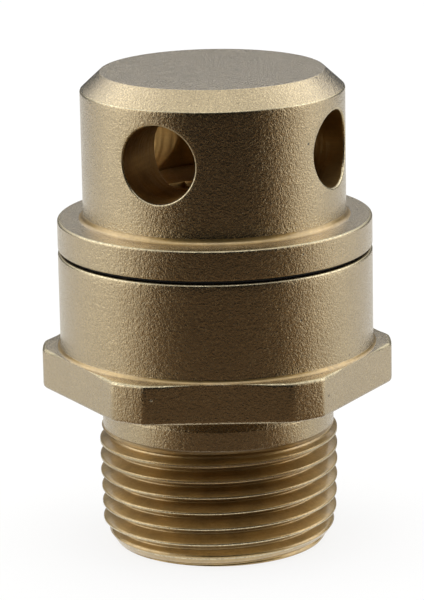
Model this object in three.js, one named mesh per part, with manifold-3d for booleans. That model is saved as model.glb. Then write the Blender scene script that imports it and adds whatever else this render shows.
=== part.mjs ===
// Spring loaded pressure relief valve with a 3/4 inch male taper-thread inlet and four discharge ports.
// Millimetres, +Z up along the flow. The origin is the centre of the inlet end face, and the port
// axes lie along X and Y. Azimuths are in degrees from -Y, turning towards +X.
import * as THREE from "three";
import { mergeVertices } from "three/addons/utils/BufferGeometryUtils.js";
import Module from "manifold-3d";

const wasm = await Module();
wasm.setup();

// ---- driving dimensions ----
const SEGMENTS = 32; // facets round the big turned pieces
const FINE_SEGMENTS = 24; // and round the small inner ones
const GAP = 0.05; // between faces that bear on each other
const FIT = 0.1; // radial clearance of a running or threaded fit
const EASE = 0.3; // chamfer on the edges of turned pieces
const BOLT_DEPTH = 0.55; // depth of an internal thread as a share of its pitch

const inchThread = 25.4 / 14; // pitch of the 3/4-14 taper thread
const taper = 1 / 32; // radius gained per length along the taper thread
const inlet = {
  pitchRadius: 12.29, // at the end face
  threadDepth: 1.451,
  blankRadius: 13.335,
  faceRadius: 11.75,
  leadIn: 1.9, // height of the chamfer at the end face
  threadTop: 13.3,
  crestHeight: 12.0, // of one crest, at the azimuth of the front flat
  neckRadius: 12.95,
  neckTop: 15.65,
  undercutRadius: 12.2,
  boreRadius: 8.4,
  boreChamfer: 0.6,
};
const hex = {
  bottom: 17.96,
  top: 22.47,
  acrossFlats: 35.6,
  cornerRadius: 19.5,
  cornerChamfer: 0.5,
  azimuth: 25, // of one flat
};
const body = {
  radius: 17.46,
  top: 33.35,
  edge: 0.25, // small chamfer at the seam
  footFillet: 0.5,
  cavityFloor: 20.0,
  cavityRadius: 12.6,
  threadedBoreBottom: 24.8,
  boreStep: 0.6, // slope from the threaded bore to the cavity
};
const cap = {
  seam: 0.35,
  flangeRadius: 17.45,
  ledge: 37.04,
  radius: 14.57,
  shoulder: 51.34,
  topRadius: 12.33,
  top: 53.4,
  footFillet: 0.65,
  threadRadius: 14.8,
  threadPitch: 2.0,
  threadNeck: 0.9, // plain length between the thread and the flange
  threadRunOut: 0.6,
  skirtBottom: 25.2,
  chamberRadius: 12.0,
  chamberTop: 30.0,
  boreRadius: 7.4,
  boreTop: 51.0,
  boreTopChamfer: 1.0,
};
const port = { count: 4, radius: 4.25, height: 45.5 };
const gasketInset = 0.55; // from the body's outer edge to the gasket's
const lockPin = { radius: 1.0, height: 29.6, depth: 1.4, azimuth: 205 };
const nozzle = {
  boreRadius: 7.4,
  seat: 22.2,
  lipWidth: 1.0,
  lipFoot: 0.4, // spread of the lip at its foot
  lipEdge: 0.2,
  threadRadius: 9.9,
  threadDepth: 0.8,
  threadNeck: 1.0,
  bottom: 13.3,
  flangeRadius: 11.7,
  flangeThickness: 0.85,
  gasketThickness: 0.3,
  notchWidth: 2.4,
  notchDepth: 1.2,
};
const disc = {
  thickness: 1.8, // of the soft seat
  radius: 8.9,
  rim: 1.3, // wall of the holder round the soft seat
  rimDrop: 1.3, // how far that wall reaches down past the soft seat's top
  plate: 1.7,
  hubRadius: 3.4,
  hubTop: 30.2,
  edge: 0.6, // chamfer on the holder's upper rim
};
const retainer = {
  radius: 5.2,
  thickness: 0.8,
  lockThickness: 0.5,
  lockSplit: 0.5,
  headRadius: 2.7,
  headHeight: 1.5,
  slot: 0.7, // width and depth of the driver slot
};
const screwRadius = 1.4;
const stem = { radius: 1.7, rise: 1.1, point: 0.5, pinRadius: 0.6 }; // the rise is above the plug
const spring = { wire: 0.7, meanRadius: 6.0, coils: 4.75, length: 10.3, washer: 0.7 };
const upperPlate = {
  thickness: 1.2,
  clearance: 0.4, // inside the cap's bore
  thrustHeight: 0.15, // of the ring that the plug bears on
};
const plug = {
  thickness: 3.0,
  threadPitch: 1.0,
  slotInner: 3.9,
  slotOuter: 6.2,
  slotSpan: 62, // degrees of each kidney slot
  lip: 0.4, // above the O-ring
  pelletRadius: 0.7,
  pelletLength: 1.6,
  pelletAzimuth: 68,
};
const bush = { wall: 0.9, clearance: 0.25 }; // the clearance is round the stem
const oRingWire = 0.36;

const colour = {
  brass: "#B39B6A",
  bronze: "#A9824B",
  steel: "#A9ABAD",
  rubber: "#2A2A28",
  fibre: "#1E1C1A",
  nylon: "#E4E1D4",
};

// ---- solids ----
function solidOf(geometry) {
  const bare = geometry.clone();
  for (const name of Object.keys(bare.attributes)) if (name !== "position") bare.deleteAttribute(name);
  const merged = mergeVertices(bare, 1e-4);
  return new wasm.Manifold(
    new wasm.Mesh({
      numProp: 3,
      vertProperties: merged.attributes.position.array,
      triVerts: new Uint32Array(merged.index.array),
    }),
  );
}

function geometryOf(solid) {
  const mesh = solid.getMesh();
  const geometry = new THREE.BufferGeometry();
  geometry.setAttribute("position", new THREE.BufferAttribute(mesh.vertProperties, 3));
  geometry.setIndex(new THREE.BufferAttribute(mesh.triVerts, 1));
  return geometry;
}

// A solid of revolution about Z. Its outline is [radius, height] points, anticlockwise from the bottom
// outer corner, and closes on itself.
function turned(outline, segments = SEGMENTS) {
  const points = outline.map(([radius, height]) => new THREE.Vector2(radius, height));
  if (points.every((point) => point.x > 0)) points.push(points[0].clone());
  return solidOf(new THREE.LatheGeometry(points, segments).rotateX(Math.PI / 2));
}

// A plain ring, or a disc when the inner radius is 0.
function ring(outer, inner, bottom, top, segments = FINE_SEGMENTS) {
  const outline = [[outer, bottom], [outer, top], [inner, top], [inner, bottom]];
  return turned(inner > 0 ? outline : [outline[3], outline[0], outline[1], outline[2]], segments);
}

// A cylinder along the horizontal direction of the azimuth, from one distance off the axis to another.
function radialCylinder(radius, azimuth, height, from, to, segments = 24) {
  const geometry = new THREE.CylinderGeometry(radius, radius, to - from, segments);
  geometry.translate(0, -(from + to) / 2, height);
  return solidOf(geometry.rotateZ(THREE.MathUtils.degToRad(azimuth)));
}

// Points of a quarter round of the given radius, concave towards the outside.
function fillet(wallRadius, floor, size, steps = 3) {
  return Array.from({ length: steps + 1 }, (_, i) => {
    const angle = (i / steps) * (Math.PI / 2);
    return [wallRadius + size * (1 - Math.sin(angle)), floor + size * (1 - Math.cos(angle))];
  });
}

// A cutter for a right-hand male thread: a bar with the groove's section, wrapped into a helix.
// depthAt and crestAt give the groove's depth and the crest's radius at a height.
function threadCutter({ pitch, from, to, crestAt, depthAt, segments }) {
  const turns = (to - from) / pitch;
  const rootHalf = pitch * 0.06;
  const crestHalf = pitch * 0.43; // the groove's half width at the crest
  const past = 0.14; // how far the cutter reaches past the crest, as a share of the depth
  const mouthHalf = crestHalf + (crestHalf - rootHalf) * past;
  const section = new THREE.Shape();
  section.moveTo(-1, -rootHalf); // x is -1 at the root and 0 at the crest
  section.lineTo(past, -mouthHalf);
  section.lineTo(past, mouthHalf);
  section.lineTo(-1, rootHalf);
  const steps = Math.round(turns * segments);
  const bar = new THREE.ExtrudeGeometry(section, { depth: 1, steps, bevelEnabled: false });
  const position = bar.attributes.position;
  for (let i = 0; i < position.count; i++) {
    const along = Math.round(position.getZ(i) * steps) / steps;
    const angle = (along * steps + 0.5) * ((2 * Math.PI) / segments);
    const height = from + (pitch * angle) / (2 * Math.PI) - position.getY(i);
    const radius = crestAt(height) + position.getX(i) * depthAt(height);
    position.setXYZ(i, radius * Math.cos(angle), radius * Math.sin(angle), height);
  }
  return solidOf(bar);
}

// A bent tube of round wire along a curve.
function wire(curve, radius, steps, sides = 8) {
  const section = new THREE.Shape();
  for (let i = 0; i < sides; i++) {
    const angle = (i / sides) * 2 * Math.PI;
    section[i ? "lineTo" : "moveTo"](radius * Math.cos(angle), radius * Math.sin(angle));
  }
  return solidOf(new THREE.ExtrudeGeometry(section, { steps, extrudePath: curve, bevelEnabled: false }));
}

const clamp = THREE.MathUtils.clamp;
const subtractAll = (solid, cutters) => cutters.reduce((left, cutter) => left.subtract(cutter), solid);

// ---- heights and radii that follow from the driving dimensions ----
const flangeBottom = body.top + cap.seam;
const threadedBore = cap.threadRadius + FIT;
const nozzleBore = nozzle.threadRadius + FIT;
const nozzleGasketTop = body.cavityFloor + GAP + nozzle.gasketThickness;
const nozzleFlangeBottom = nozzleGasketTop + GAP;
const nozzleFlangeTop = nozzleFlangeBottom + nozzle.flangeThickness;
const lockPinInner = cap.threadRadius - lockPin.depth;
const nozzleLipRadius = nozzle.boreRadius + nozzle.lipWidth;
const softBottom = nozzle.seat + GAP;
const softTop = softBottom + disc.thickness;
const holderBottom = softTop + GAP;
const holderTop = holderBottom + disc.plate;
const retainerTop = softBottom - GAP;
const lockTop = retainerTop - retainer.thickness - GAP;
const headTop = lockTop - retainer.lockThickness - GAP;
const stemPinHeight = (holderTop + spring.washer + disc.hubTop) / 2;
const stemHole = stem.radius + 3 * FIT; // in the pieces that the stem passes without being guided
const springBottom = holderTop + GAP + spring.washer + GAP;
const springTop = springBottom + spring.length;
const plateBottom = springTop + GAP;
const plateTop = plateBottom + upperPlate.thickness;
const plateRadius = cap.boreRadius - upperPlate.clearance;
const plugBottom = plateTop + upperPlate.thrustHeight;
const plugTop = plugBottom + plug.thickness;
const plugRadius = cap.boreRadius - FIT;
const pelletHeight = plugTop - plug.thickness / 2;
const pelletInner = plugRadius - plug.pelletLength;
const stemTop = plugTop + stem.rise;
const bushBore = stem.radius + bush.clearance;
const bushRadius = bushBore + bush.wall;
const bushTop = plugTop - plug.lip - 2 * oRingWire - 3 * GAP;
const oRingHeight = plugTop - plug.lip - GAP - oRingWire;
const oRingRadius = stem.radius + FIT + oRingWire;

// ---- pieces ----
function inletBody() {
  const { blankRadius, faceRadius, leadIn, threadTop, neckRadius, neckTop, undercutRadius } = inlet;
  const runOut = inlet.threadDepth; // the thread's last groove fades over a 45 degree cone
  const crestAtEnd = inlet.pitchRadius + inlet.threadDepth / 2;
  const crestAt = (height) => crestAtEnd + height * taper;
  const fullHeight = (blankRadius - crestAtEnd) / taper; // where the crest reaches the blank
  const inWall = (threadedBore + body.radius) / 2; // safely inside the metal of the body's wall
  let shell = turned([
    [inlet.boreRadius + inlet.boreChamfer, 0],
    [faceRadius, 0],
    [crestAt(leadIn) - FIT, leadIn],
    [crestAt(fullHeight / 2), fullHeight / 2],
    [blankRadius, fullHeight],
    [blankRadius, threadTop - EASE],
    [neckRadius, threadTop],
    [neckRadius, neckTop],
    [undercutRadius, hex.bottom],
    [body.radius, hex.bottom],
    [body.radius, body.top - body.edge],
    [body.radius - body.edge, body.top],
    [threadedBore + EASE, body.top],
    [threadedBore, body.top - EASE],
    [threadedBore, body.threadedBoreBottom],
    [body.cavityRadius, body.threadedBoreBottom - body.boreStep],
    [body.cavityRadius, body.cavityFloor],
    [nozzleBore, body.cavityFloor],
    [nozzleBore, nozzle.bottom - GAP],
    [inlet.boreRadius, nozzle.bottom - GAP],
    [inlet.boreRadius, inlet.boreChamfer],
  ]);
  const flats = new THREE.CylinderGeometry(
    hex.acrossFlats / Math.sqrt(3),
    hex.acrossFlats / Math.sqrt(3),
    hex.top - hex.bottom,
    6,
  );
  flats.rotateX(Math.PI / 2).translate(0, 0, (hex.top + hex.bottom) / 2);
  const cornersTurned = turned([
    [inWall, hex.bottom],
    [hex.cornerRadius - hex.cornerChamfer, hex.bottom],
    [hex.cornerRadius, hex.bottom + hex.cornerChamfer],
    [hex.cornerRadius, hex.top - hex.cornerChamfer],
    [hex.cornerRadius - hex.cornerChamfer, hex.top],
    [inWall, hex.top],
  ]);
  // CylinderGeometry's first edge lies on +Y once turned upright, so its flats face 30 degrees off.
  flats.rotateZ(THREE.MathUtils.degToRad(hex.azimuth + 30));
  const hexagon = solidOf(flats).intersect(cornersTurned);
  const foot = turned([
    [inWall, hex.top - 1],
    [body.radius + body.footFillet, hex.top - 1],
    ...fillet(body.radius, hex.top, body.footFillet),
    [inWall, hex.top + body.footFillet],
  ]).intersect(hexagon.add(ring(body.radius, inWall, hex.top - 2, body.top - 2, SEGMENTS)));
  shell = shell.add(hexagon).add(foot);
  const groove = threadCutter({
    pitch: inchThread,
    from: inlet.crestHeight + inchThread * ((90 - hex.azimuth) / 360 + 0.5 - 8),
    to: threadTop - 0.2,
    crestAt,
    depthAt: (height) => inlet.threadDepth * clamp((threadTop + 0.4 - height) / runOut, 0.1, 1),
    segments: SEGMENTS,
  });
  const pinHole = radialCylinder(
    lockPin.radius + FIT,
    lockPin.azimuth,
    lockPin.height,
    threadedBore - 1,
    body.radius + 1,
    16,
  );
  return subtractAll(shell, [groove, pinHole]);
}

function dischargeCap() {
  const depth = BOLT_DEPTH * cap.threadPitch;
  const rootRadius = cap.threadRadius - depth;
  const threadTop = flangeBottom - cap.threadNeck - cap.threadRunOut;
  let shell = turned([
    [cap.chamberRadius, cap.skirtBottom],
    [rootRadius, cap.skirtBottom],
    [cap.threadRadius, cap.skirtBottom + depth],
    [cap.threadRadius, threadTop],
    [rootRadius, flangeBottom - cap.threadNeck],
    [rootRadius, flangeBottom],
    [cap.flangeRadius - body.edge, flangeBottom],
    [cap.flangeRadius, flangeBottom + body.edge],
    [cap.flangeRadius, cap.ledge - body.edge],
    [cap.flangeRadius - body.edge, cap.ledge],
    ...fillet(cap.radius, cap.ledge, cap.footFillet),
    [cap.radius, cap.shoulder],
    [cap.topRadius, cap.top],
    [0, cap.top],
    [0, cap.boreTop],
    [cap.boreRadius - cap.boreTopChamfer, cap.boreTop],
    [cap.boreRadius, cap.boreTop - cap.boreTopChamfer],
    [cap.boreRadius, cap.chamberTop + (cap.chamberRadius - cap.boreRadius)],
    [cap.chamberRadius, cap.chamberTop],
    [cap.chamberRadius, cap.skirtBottom],
  ]);
  const groove = threadCutter({
    pitch: cap.threadPitch,
    from: cap.skirtBottom - cap.threadPitch,
    to: threadTop + cap.threadRunOut / 2,
    crestAt: () => cap.threadRadius,
    depthAt: () => depth,
    segments: SEGMENTS,
  });
  const drills = [];
  for (let i = 0; i < port.count; i++) {
    const azimuth = (i * 360) / port.count;
    drills.push(radialCylinder(port.radius, azimuth, port.height, cap.boreRadius - 2, cap.radius + 1, 32));
  }
  const pinHole = radialCylinder(
    lockPin.radius + FIT,
    lockPin.azimuth,
    lockPin.height,
    lockPinInner - 2 * FIT,
    cap.flangeRadius,
    16,
  );
  return subtractAll(shell, [groove, ...drills, pinHole]);
}

const capGasket = () =>
  ring(body.radius - gasketInset, threadedBore + EASE + FIT, body.top + GAP, flangeBottom - GAP, SEGMENTS);

const capLockPin = () =>
  radialCylinder(
    lockPin.radius,
    lockPin.azimuth,
    lockPin.height,
    lockPinInner,
    body.radius * Math.cos(Math.PI / SEGMENTS) - GAP,
    16,
  );

function seatNozzle() {
  const rootRadius = nozzle.threadRadius - nozzle.threadDepth;
  const neckBottom = nozzleFlangeBottom - nozzle.threadNeck;
  const shell = turned([
    [nozzle.boreRadius, nozzle.bottom],
    [rootRadius, nozzle.bottom],
    [nozzle.threadRadius, nozzle.bottom + nozzle.threadDepth],
    [nozzle.threadRadius, neckBottom - nozzle.threadDepth],
    [rootRadius, neckBottom],
    [rootRadius, nozzleFlangeBottom],
    [nozzle.flangeRadius, nozzleFlangeBottom],
    [nozzle.flangeRadius, nozzleFlangeTop],
    [nozzleLipRadius + nozzle.lipFoot, nozzleFlangeTop],
    [nozzleLipRadius, nozzle.seat - nozzle.lipEdge],
    [nozzleLipRadius - nozzle.lipEdge, nozzle.seat],
    [nozzle.boreRadius + nozzle.lipEdge, nozzle.seat],
    [nozzle.boreRadius, nozzle.seat - nozzle.lipEdge],
  ]);
  const notches = [0, 90].map((azimuth) => {
    const bar = new THREE.BoxGeometry(nozzle.notchWidth, 2 * nozzle.flangeRadius + 2, nozzle.flangeThickness);
    const middle = (nozzleFlangeBottom + nozzleFlangeTop) / 2;
    bar.rotateZ(THREE.MathUtils.degToRad(azimuth)).translate(0, 0, middle);
    const rimOnly = ring(
      nozzle.flangeRadius + 1,
      nozzle.flangeRadius - nozzle.notchDepth,
      nozzleFlangeBottom - 1,
      nozzleFlangeTop + 1,
    );
    return solidOf(bar).intersect(rimOnly);
  });
  return subtractAll(shell, notches);
}

const nozzleGasket = () =>
  ring(nozzle.flangeRadius, nozzleBore + FIT, body.cavityFloor + GAP, nozzleGasketTop, SEGMENTS);

const softSeat = () => ring(disc.radius, screwRadius + FIT, softBottom, softTop);

function discHolder() {
  const wallInner = disc.radius + FIT;
  const wallOuter = wallInner + disc.rim;
  const wallBottom = softTop - disc.rimDrop;
  const outline = [
    [screwRadius + FIT, holderBottom],
    [wallInner, holderBottom],
    [wallInner, wallBottom],
    [wallOuter - EASE, wallBottom],
    [wallOuter, wallBottom + EASE],
    [wallOuter, holderTop - disc.edge],
    [wallOuter - disc.edge, holderTop],
    [disc.hubRadius, holderTop],
    [disc.hubRadius, disc.hubTop - EASE],
    [disc.hubRadius - EASE, disc.hubTop],
    [stem.radius + FIT, disc.hubTop],
    [stem.radius + FIT, holderTop],
    [screwRadius + FIT, holderTop],
  ];
  return turned(outline, FINE_SEGMENTS).subtract(crossHole(disc.hubRadius));
}

// The hole for the cross pin, through a round piece of the given radius.
const crossHole = (through) =>
  radialCylinder(stem.pinRadius + FIT / 2, 90, stemPinHeight, -through - 1, through + 1, 12);

const retainerWasher = () =>
  ring(retainer.radius, screwRadius + FIT, retainerTop - retainer.thickness, retainerTop);

function retainerLockWasher() {
  const lockBottom = lockTop - retainer.lockThickness;
  const split = new THREE.BoxGeometry(retainer.lockSplit, retainer.headRadius, 2);
  split.translate(0, -retainer.headRadius / 2 - screwRadius / 2, (lockTop + lockBottom) / 2);
  return ring(retainer.headRadius - FIT, screwRadius + FIT, lockBottom, lockTop).subtract(solidOf(split));
}

function retainerScrew() {
  const headBottom = headTop - retainer.headHeight;
  const outline = [
    [0, headBottom],
    [retainer.headRadius - EASE, headBottom],
    [retainer.headRadius, headBottom + EASE],
    [retainer.headRadius, headTop],
    [screwRadius, headTop],
    [screwRadius, holderTop - EASE],
    [screwRadius - EASE, holderTop],
    [0, holderTop],
  ];
  const slot = new THREE.BoxGeometry(retainer.slot, 3 * retainer.headRadius, 2 * retainer.slot);
  return turned(outline, FINE_SEGMENTS).subtract(solidOf(slot.translate(0, 0, headBottom)));
}

function valveStem() {
  const bottom = holderTop + GAP;
  const outline = [
    [0, bottom],
    [stem.radius - EASE, bottom],
    [stem.radius, bottom + EASE],
    [stem.radius, stemTop - stem.point],
    [stem.radius - stem.point, stemTop],
    [0, stemTop],
  ];
  return turned(outline, FINE_SEGMENTS).subtract(crossHole(stem.radius));
}

const stemCrossPin = () =>
  radialCylinder(stem.pinRadius, 90, stemPinHeight, -disc.hubRadius + FIT, disc.hubRadius - FIT, 12);

function lowerSpringWasher() {
  const bottom = holderTop + GAP;
  return ring(spring.meanRadius + spring.wire + EASE, disc.hubRadius + FIT, bottom, bottom + spring.washer);
}

// Helix whose first and last turns lie closed against the next one.
class SpringCurve extends THREE.Curve {
  getPoint(t, target = new THREE.Vector3()) {
    const closedTurn = 1 / spring.coils;
    const low = springBottom + spring.wire * 0.5;
    const high = springTop - spring.wire * 0.5;
    const closedRise = 1.9 * spring.wire;
    const middle = (t - closedTurn) / (1 - 2 * closedTurn);
    let height = low + closedRise + (high - low - 2 * closedRise) * middle;
    if (t < closedTurn) height = low + (closedRise * t) / closedTurn;
    if (t > 1 - closedTurn) height = high - (closedRise * (1 - t)) / closedTurn;
    const angle = 2 * Math.PI * spring.coils * t;
    return target.set(spring.meanRadius * Math.cos(angle), spring.meanRadius * Math.sin(angle), height);
  }
}

function mainSpring() {
  const stepsPerTurn = 20;
  const coil = wire(new SpringCurve(), spring.wire, Math.round(spring.coils * stepsPerTurn));
  const groundEnds = ring(spring.meanRadius + 2, spring.meanRadius - 2, springBottom, springTop);
  return coil.intersect(groundEnds);
}

// Kidney slots cut in front of and behind the stem, for the discharge to pass.
function kidneySlots(inner, outer, bottom, top) {
  const half = THREE.MathUtils.degToRad(plug.slotSpan / 2);
  return [0, Math.PI].map((turn) => {
    const outline = new THREE.Shape();
    const middle = turn - Math.PI / 2;
    outline.absarc(0, 0, outer, middle - half, middle + half, false);
    outline.absarc(0, 0, inner, middle + half, middle - half, true);
    const cutter = new THREE.ExtrudeGeometry(outline, {
      depth: top - bottom + 2,
      curveSegments: 8,
      bevelEnabled: false,
    });
    return solidOf(cutter.translate(0, 0, bottom - 1));
  });
}

function upperSpringPlate() {
  const thrustTop = plugBottom - GAP;
  const thrustRadius = plug.slotInner - FIT;
  const outline = [
    [stemHole, plateBottom],
    [plateRadius, plateBottom],
    [plateRadius, plateTop],
    [thrustRadius, plateTop],
    [thrustRadius, thrustTop],
    [stemHole, thrustTop],
  ];
  const slotInner = plug.slotInner + 2 * FIT;
  const slotOuter = spring.meanRadius - spring.wire;
  const slots = kidneySlots(slotInner, slotOuter, plateBottom, thrustTop);
  return subtractAll(turned(outline, FINE_SEGMENTS), slots);
}

function adjustingPlug() {
  const depth = BOLT_DEPTH * plug.threadPitch;
  const outline = [
    [bushRadius + FIT, plugBottom],
    [plugRadius - depth, plugBottom],
    [plugRadius, plugBottom + depth],
    [plugRadius, plugTop - EASE],
    [plugRadius - EASE, plugTop],
    [stemHole, plugTop],
    [stemHole, plugTop - plug.lip],
    [bushRadius + FIT, plugTop - plug.lip],
  ];
  const groove = threadCutter({
    pitch: plug.threadPitch,
    from: plugBottom - plug.threadPitch,
    to: plugTop - 3 * EASE,
    crestAt: () => plugRadius,
    depthAt: () => depth,
    segments: FINE_SEGMENTS,
  });
  const pelletHole = radialCylinder(
    plug.pelletRadius,
    plug.pelletAzimuth,
    pelletHeight,
    pelletInner - EASE,
    cap.boreRadius,
    12,
  );
  const slots = kidneySlots(plug.slotInner, plug.slotOuter, plugBottom, plugTop);
  return subtractAll(turned(outline, FINE_SEGMENTS), [groove, pelletHole, ...slots]);
}

function plugLockPellet() {
  const { pelletRadius, pelletAzimuth } = plug;
  return radialCylinder(pelletRadius - FIT, pelletAzimuth, pelletHeight, pelletInner, plugRadius - FIT, 12);
}

const stemGuideBush = () => ring(bushRadius, bushBore, plugBottom + GAP, bushTop);

const stemORing = () =>
  solidOf(new THREE.TorusGeometry(oRingRadius, oRingWire, 8, FINE_SEGMENTS).translate(0, 0, oRingHeight));

// ---- assembly ----
const part = new THREE.Group();
part.name = "pressure_relief_valve";

function add(group, name, solid, shade, roughness = 0.4, metalness = 1) {
  const material = new THREE.MeshStandardMaterial({ color: shade, roughness, metalness });
  const mesh = new THREE.Mesh(geometryOf(solid), material);
  mesh.name = name;
  group.add(mesh);
}

function subGroup(name) {
  const group = new THREE.Group();
  group.name = name;
  part.add(group);
  return group;
}

const casing = subGroup("casing");
add(casing, "inlet_body", inletBody(), colour.brass);
add(casing, "discharge_cap", dischargeCap(), colour.brass);
add(casing, "cap_gasket", capGasket(), colour.fibre, 0.9, 0);
add(casing, "cap_lock_pin", capLockPin(), colour.brass);
add(casing, "seat_nozzle", seatNozzle(), colour.brass);
add(casing, "nozzle_gasket", nozzleGasket(), colour.fibre, 0.9, 0);
add(casing, "main_spring", mainSpring(), colour.steel);

const discGroup = subGroup("disc");
add(discGroup, "soft_seat_disc", softSeat(), colour.rubber, 0.7, 0);
add(discGroup, "disc_holder", discHolder(), colour.brass);
add(discGroup, "seat_retainer_washer", retainerWasher(), colour.steel);
add(discGroup, "retainer_lock_washer", retainerLockWasher(), colour.steel);
add(discGroup, "seat_retainer_screw", retainerScrew(), colour.steel);
add(discGroup, "valve_stem", valveStem(), colour.steel);
add(discGroup, "stem_cross_pin", stemCrossPin(), colour.steel);
add(discGroup, "lower_spring_washer", lowerSpringWasher(), colour.steel);

const adjuster = subGroup("adjuster");
add(adjuster, "upper_spring_plate", upperSpringPlate(), colour.steel);
add(adjuster, "adjusting_plug", adjustingPlug(), colour.brass);
add(adjuster, "plug_lock_pellet", plugLockPellet(), colour.nylon, 0.6, 0);
add(adjuster, "stem_guide_bush", stemGuideBush(), colour.bronze);
add(adjuster, "stem_o_ring", stemORing(), colour.rubber, 0.7, 0);

export default part;
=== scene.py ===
"""Spring loaded pressure relief valve in shot-blasted brass: the looks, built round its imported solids."""

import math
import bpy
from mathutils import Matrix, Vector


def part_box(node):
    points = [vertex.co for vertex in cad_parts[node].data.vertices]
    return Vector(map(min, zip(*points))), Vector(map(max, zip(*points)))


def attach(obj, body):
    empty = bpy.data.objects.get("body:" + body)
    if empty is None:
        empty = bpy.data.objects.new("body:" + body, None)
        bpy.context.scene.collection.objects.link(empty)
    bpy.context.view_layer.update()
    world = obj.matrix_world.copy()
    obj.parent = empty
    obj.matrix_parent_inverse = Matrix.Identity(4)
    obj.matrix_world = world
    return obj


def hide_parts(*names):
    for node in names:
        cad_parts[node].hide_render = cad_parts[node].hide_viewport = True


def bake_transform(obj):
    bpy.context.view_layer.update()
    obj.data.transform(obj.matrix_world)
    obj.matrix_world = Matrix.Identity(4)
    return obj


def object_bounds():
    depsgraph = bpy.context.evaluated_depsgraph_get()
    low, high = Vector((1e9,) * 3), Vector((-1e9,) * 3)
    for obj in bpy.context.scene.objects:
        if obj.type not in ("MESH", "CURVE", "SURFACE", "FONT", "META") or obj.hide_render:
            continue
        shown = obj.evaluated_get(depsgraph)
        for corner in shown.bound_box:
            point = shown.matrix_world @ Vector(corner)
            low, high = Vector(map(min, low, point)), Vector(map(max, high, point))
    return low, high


bl_info = {
    "name": "Pressure relief valve",
    "version": (1, 0, 0),
    "blender": (4, 5, 0),
    "location": "3D View > Sidebar > Relief valve",
    "description": "Builds a brass pressure relief valve, piece by piece, and a small studio round it",
    "category": "Object",
}

import bmesh
import bpy
from mathutils import Matrix, Vector, noise

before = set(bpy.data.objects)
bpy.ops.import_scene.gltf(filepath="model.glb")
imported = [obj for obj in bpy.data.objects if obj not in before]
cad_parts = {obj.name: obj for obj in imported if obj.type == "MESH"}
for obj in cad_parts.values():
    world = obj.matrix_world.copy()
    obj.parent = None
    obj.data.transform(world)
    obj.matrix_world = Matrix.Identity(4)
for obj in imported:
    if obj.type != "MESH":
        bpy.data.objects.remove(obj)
cad_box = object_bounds()

MM = 0.001  # outlines below are in millimetres, the scene is in metres
TURN = 2 * math.pi

# ---------------------------------------------------------------- sizes read from the solids


def top(node):
    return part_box(node)[1].z / MM


def bottom(node):
    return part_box(node)[0].z / MM


def radius(node):
    """A round node's radius: its facets have corners on the X axis."""
    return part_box(node)[1].x / MM


def middle_height(node):
    return (top(node) + bottom(node)) / 2


def half_height(node):
    """The radius of a node that lies on its side."""
    return (top(node) - bottom(node)) / 2


# ---------------------------------------------------------------- colours


def linear(hex_colour):
    """An sRGB hex colour as linear RGB."""
    parts = [int(hex_colour[i : i + 2], 16) / 255 for i in (1, 3, 5)]
    return tuple(p / 12.92 if p <= 0.04045 else ((p + 0.055) / 1.055) ** 2.4 for p in parts)


def rgba(hex_colour):
    return (*linear(hex_colour), 1.0)


# ---------------------------------------------------------------- settings a user may change


def length(label, words, default_mm):
    return bpy.props.FloatProperty(
        name=label, description=words, default=default_mm * MM, min=0, precision=5, unit="LENGTH"
    )


def degrees(label, words, default_degrees):
    return bpy.props.FloatProperty(
        name=label, description=words, default=math.radians(default_degrees), subtype="ANGLE"
    )


def number(label, words, default):
    return bpy.props.FloatProperty(name=label, description=words, default=default, min=0)


def tint(label, words, hex_colour):
    return bpy.props.FloatVectorProperty(
        name=label, description=words, default=linear(hex_colour), size=3, min=0, max=1, subtype="COLOR"
    )


class ReliefBodySettings(bpy.types.PropertyGroup):
    across_flats: length("Across flats", "Distance between opposite flats of the hexagon", 35.6)
    corner_radius: length("Turned corners", "Radius to which the hexagon's corners are turned", 19.5)
    hexagon_bottom: length("Hexagon underside", "Height of the hexagon's underside", 17.96)
    hexagon_top: length("Hexagon top", "Height of the hexagon's top", 22.47)
    hexagon_azimuth: degrees("Hexagon turn", "Angle of the front flat from the front port", 25)
    body_radius: length("Body radius", "Radius of the round body above the hexagon", 17.46)
    neck_radius: length("Neck radius", "Radius between the thread and the hexagon", 12.95)
    thread_pitch: length("Thread pitch", "Pitch of the inlet thread, 14 to the inch", 25.4 / 14)
    thread_depth: length("Thread depth", "Height of the inlet thread from root to crest", 1.4)
    crest_radius: length("Crest radius", "Radius of the thread's crests at the inlet end face", 13.08)
    blank_radius: length("Blank radius", "Radius of the bar before the thread was cut", 13.335)
    thread_top: length("Thread top", "Height at which the thread runs out into the neck", 13.3)
    edge: length("Edge round", "Radius left by blasting on the hexagon's edges", 0.5)
    foot_fillet: length("Foot fillet", "Fillet between the hexagon and the round body", 0.5)


class ReliefCapSettings(bpy.types.PropertyGroup):
    barrel_radius: length("Barrel radius", "Radius of the cap above its flange", 14.57)
    top_radius: length("Top face radius", "Radius of the flat top inside the chamfer", 12.33)
    shoulder: length("Shoulder", "Height at which the chamfer starts", 51.34)
    ledge: length("Ledge", "Height of the flange's top", 37.04)
    bore_radius: length("Bore radius", "Radius of the bore behind the ports", 7.4)
    port_radius: length("Port radius", "Radius of the four discharge ports", 4.25)
    port_height: length("Port height", "Height of the ports' axes", 45.5)
    # The rim takes the paler edge brass: a painted highlight round each port, with some bare metal from the
    # drill.
    rim: length("Port rim", "Width of the rim that the drill left bright", 0.24)


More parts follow.
